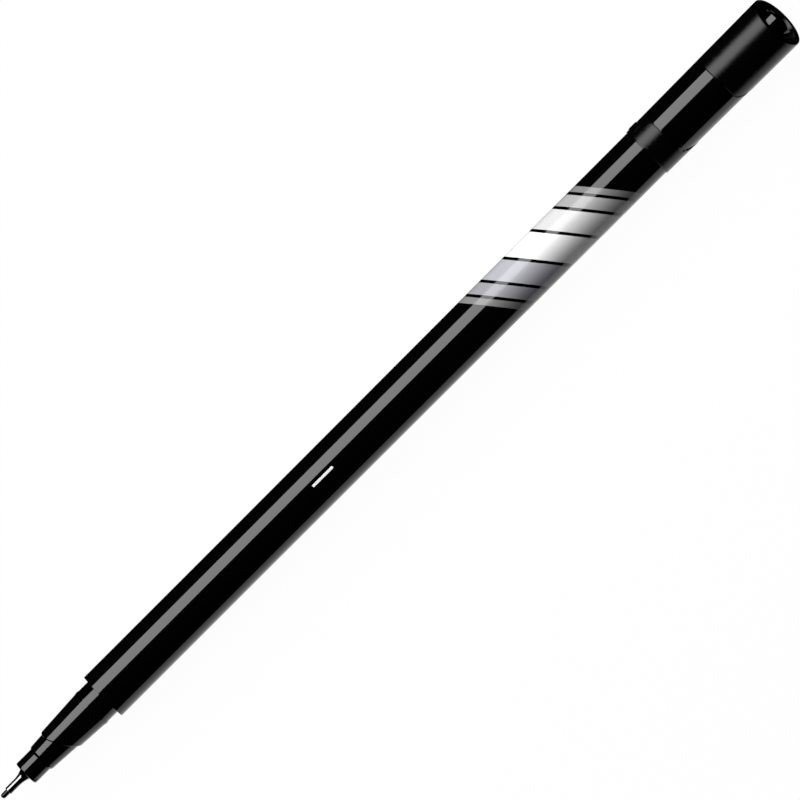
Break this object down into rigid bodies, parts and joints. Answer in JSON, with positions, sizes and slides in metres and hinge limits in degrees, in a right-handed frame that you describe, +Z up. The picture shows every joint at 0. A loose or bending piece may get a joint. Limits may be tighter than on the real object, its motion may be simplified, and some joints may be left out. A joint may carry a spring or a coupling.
{
  "type": "fineliner pen",
  "caption": "Slim fineliner pen with a steel-clad nib, a slant-cut front section, a drafted tube barrel and a vented slip-on cap posted on its rear end.",
  "frame": {"origin": "on the pen's axis, at the shoulder where the front section meets the barrel", "axes": "+X along the pen from the nib to the cap, +Z up as the pen lies with the low side of the cap's slanted end upwards, +Y to the side of the cap's low lip"},
  "size_m": [0.164, 0.009, 0.009],
  "materials": {
    "barrel_gloss": "polished black polypropylene with a pale printed band near the rear",
    "section_gloss": "polished black polypropylene",
    "steel": "bright drawn stainless steel",
    "nib_acetal": "extruded acetal stained by black ink",
    "fibre": "polyester fibre soaked with black ink",
    "film": "thin clear-white polypropylene wrap",
    "cap_plastic": "black polypropylene, polished on the panel and fine matt at the mouth and the end"
  },
  "bodies": {
    "pen": {"barrel": "barrel_gloss", "grip_section": "section_gloss", "nib_sleeve": "steel", "nib": "nib_acetal", "ink_reservoir": "fibre", "reservoir_film": "film", "rear_plug": "section_gloss"},
    "cap": {"cap_shell": "cap_plastic", "inner_cap": "section_gloss"}
  },
  "joints": [
    {"name": "cap_pull", "type": "slide", "parent": "pen", "child": "cap", "axis": [1, 0, 0], "range_m": [0, 0.015]}
  ]
}
